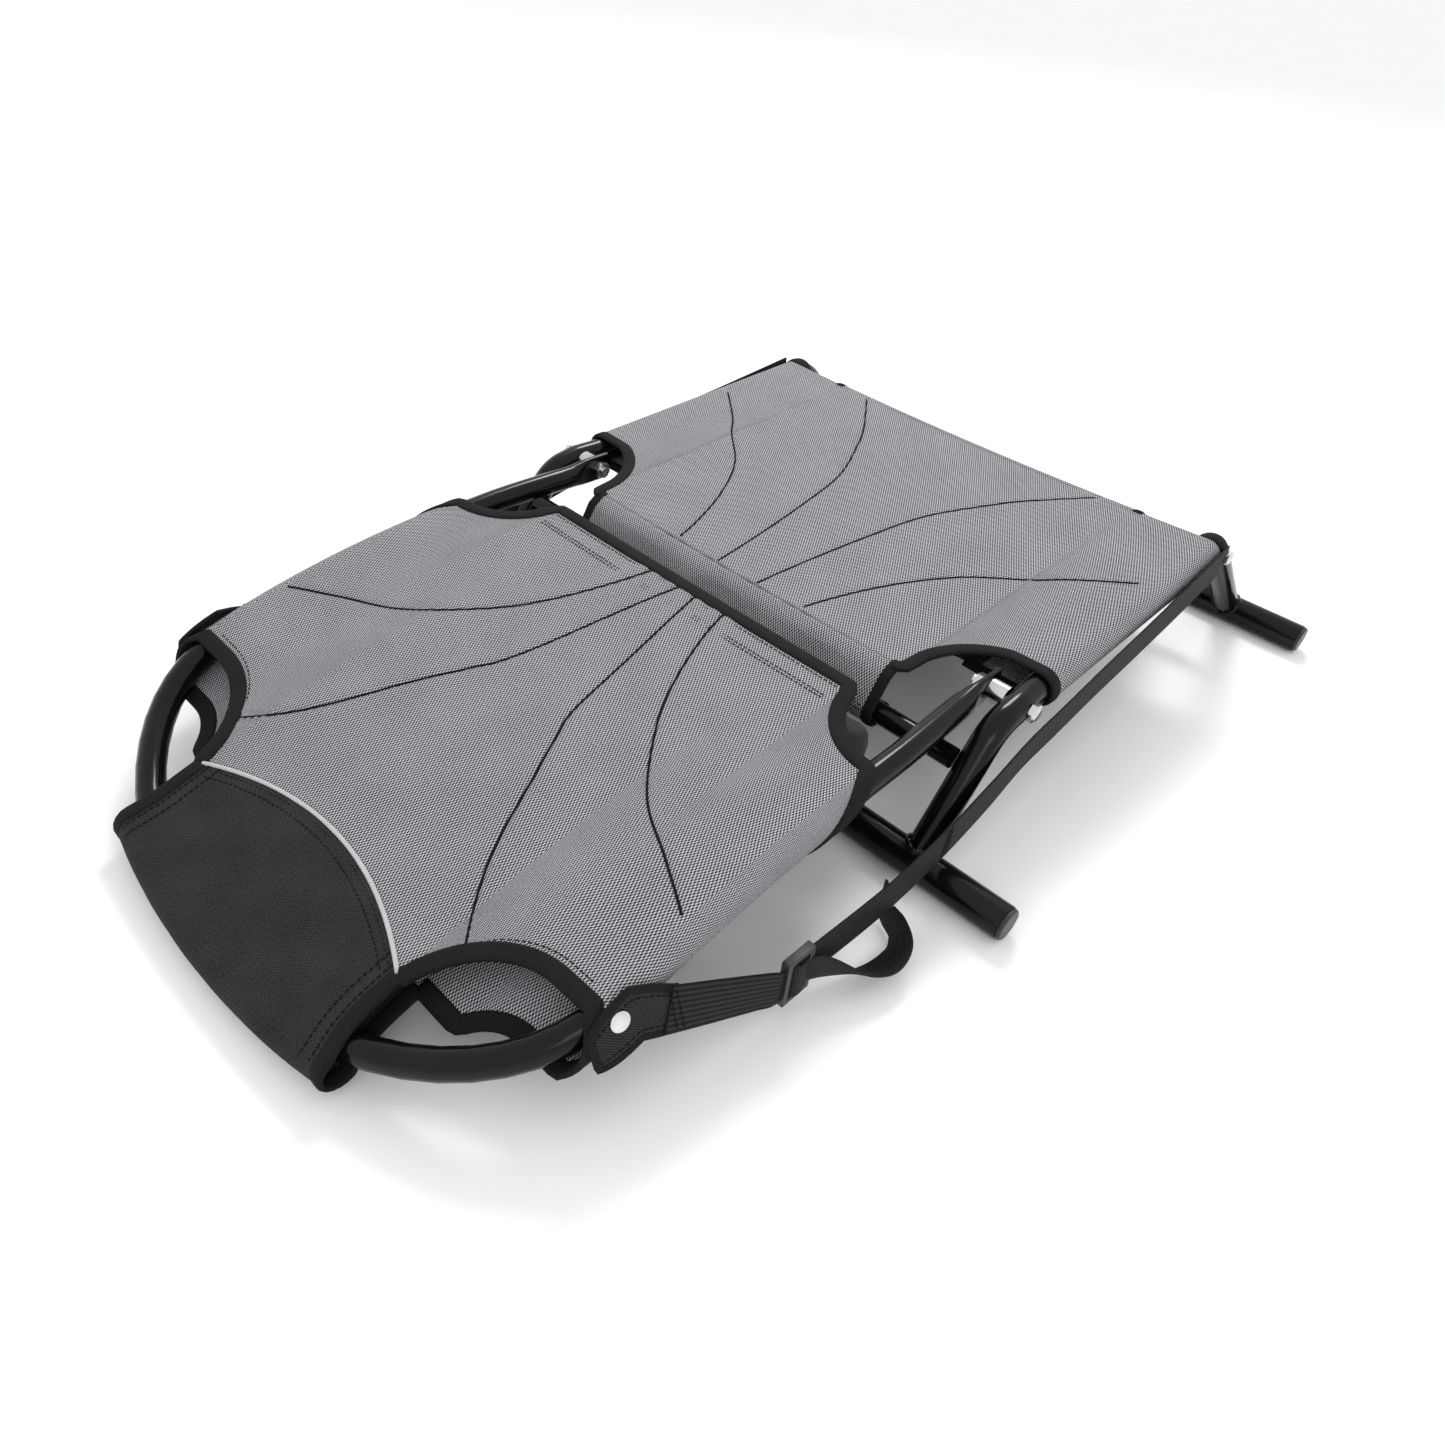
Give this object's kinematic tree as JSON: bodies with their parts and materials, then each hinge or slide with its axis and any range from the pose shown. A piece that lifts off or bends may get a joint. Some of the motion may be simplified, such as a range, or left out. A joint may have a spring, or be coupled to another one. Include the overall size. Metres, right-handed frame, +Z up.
{
  "type": "folding legless mesh seat",
  "caption": "Low folding seat: a mesh sling on a tube frame with two floor rails, and an arched mesh backrest with a black top panel that folds over the sling; shown laid flat.",
  "frame": {"origin": "middle of the footprint, on the floor", "axes": "+X across, to the side named right; +Y towards the front rail; +Z up"},
  "size_m": [0.635, 0.9273, 0.1279],
  "materials": {
    "black_paint": "gloss black paint on tube",
    "black_plastic": "satin moulded",
    "zinc_steel": "bright zinc plating",
    "grey_mesh": "coarse salt-and-pepper weave",
    "black_cloth": "tight woven cloth",
    "black_webbing": "ribbed webbing",
    "black_foam": "padded cloth roll"
  },
  "bodies": {
    "seat_frame": {"crossbar_bolt_left": "zinc_steel", "crossbar_bolt_right": "zinc_steel", "crossbar_lug_left": "black_paint", "crossbar_lug_right": "black_paint", "crossbar_nut_left": "zinc_steel", "crossbar_nut_right": "zinc_steel", "front_crossbar": "black_paint", "front_rail": "black_paint", "front_rail_plug_left": "black_plastic", "front_rail_plug_right": "black_plastic", "hinge_bolt_left": "zinc_steel", "hinge_bolt_right": "zinc_steel", "hinge_bush_left": "black_plastic", "hinge_bush_right": "black_plastic", "hinge_nut_left": "zinc_steel", "hinge_nut_right": "zinc_steel", "lacing_strap_diagonal_left": "black_webbing", "lacing_strap_diagonal_right": "black_webbing", "lacing_strap_front": "black_webbing", "lacing_strap_rear": "black_webbing", "rear_crossbar": "black_paint", "rear_rail": "black_paint", "rear_rail_plug_left": "black_plastic", "rear_rail_plug_right": "black_plastic", "seat_side_tube_left": "black_paint", "seat_side_tube_right": "black_paint", "seat_sling": "grey_mesh", "side_strap_front_left": "black_webbing", "side_strap_front_right": "black_webbing", "sling_front_hem": "grey_mesh", "sling_rear_hem": "grey_mesh", "strap_anchor_screw_left": "zinc_steel", "strap_anchor_screw_right": "zinc_steel", "wire_ribbon_left": "black_cloth", "wire_ribbon_right": "black_cloth"},
    "backrest": {"backrest_bow": "black_paint", "backrest_cover": "grey_mesh", "backrest_side_tube_left": "black_paint", "backrest_side_tube_right": "black_paint", "backrest_top_panel": "black_cloth", "ladder_lock_left": "black_plastic", "ladder_lock_right": "black_plastic", "lumbar_roll": "black_foam", "lumbar_roll_lower": "black_foam", "lumbar_slider": "black_plastic", "lumbar_strap": "black_webbing", "rear_grid_panel": "black_cloth", "side_strap_rear_left": "black_webbing", "side_strap_rear_right": "black_webbing", "strap_lead_left": "black_webbing", "strap_lead_right": "black_webbing", "strap_tab_left": "black_cloth", "strap_tab_right": "black_cloth", "strap_tail_left": "black_webbing", "strap_tail_right": "black_webbing", "tab_rivet_left": "zinc_steel", "tab_rivet_right": "zinc_steel"},
    "wire_loop_right": {"wire_loop_right": "zinc_steel"},
    "wire_loop_left": {"wire_loop_left": "zinc_steel"}
  },
  "joints": [
    {"name": "backrest_fold", "type": "hinge", "parent": "seat_frame", "child": "backrest", "pos_m": [0, 0.0289, 0.1], "axis": [-1, 0, 0], "range_deg": [0, 135]},
    {"name": "wire_loop_right_swing", "type": "hinge", "parent": "seat_frame", "child": "wire_loop_right", "pos_m": [0.09, 0.3649, 0.062], "axis": [-1, 0, 0], "range_deg": [-30, 80]},
    {"name": "wire_loop_left_swing", "type": "hinge", "parent": "seat_frame", "child": "wire_loop_left", "pos_m": [-0.09, 0.3649, 0.062], "axis": [-1, 0, 0], "range_deg": [-30, 80]}
  ]
}
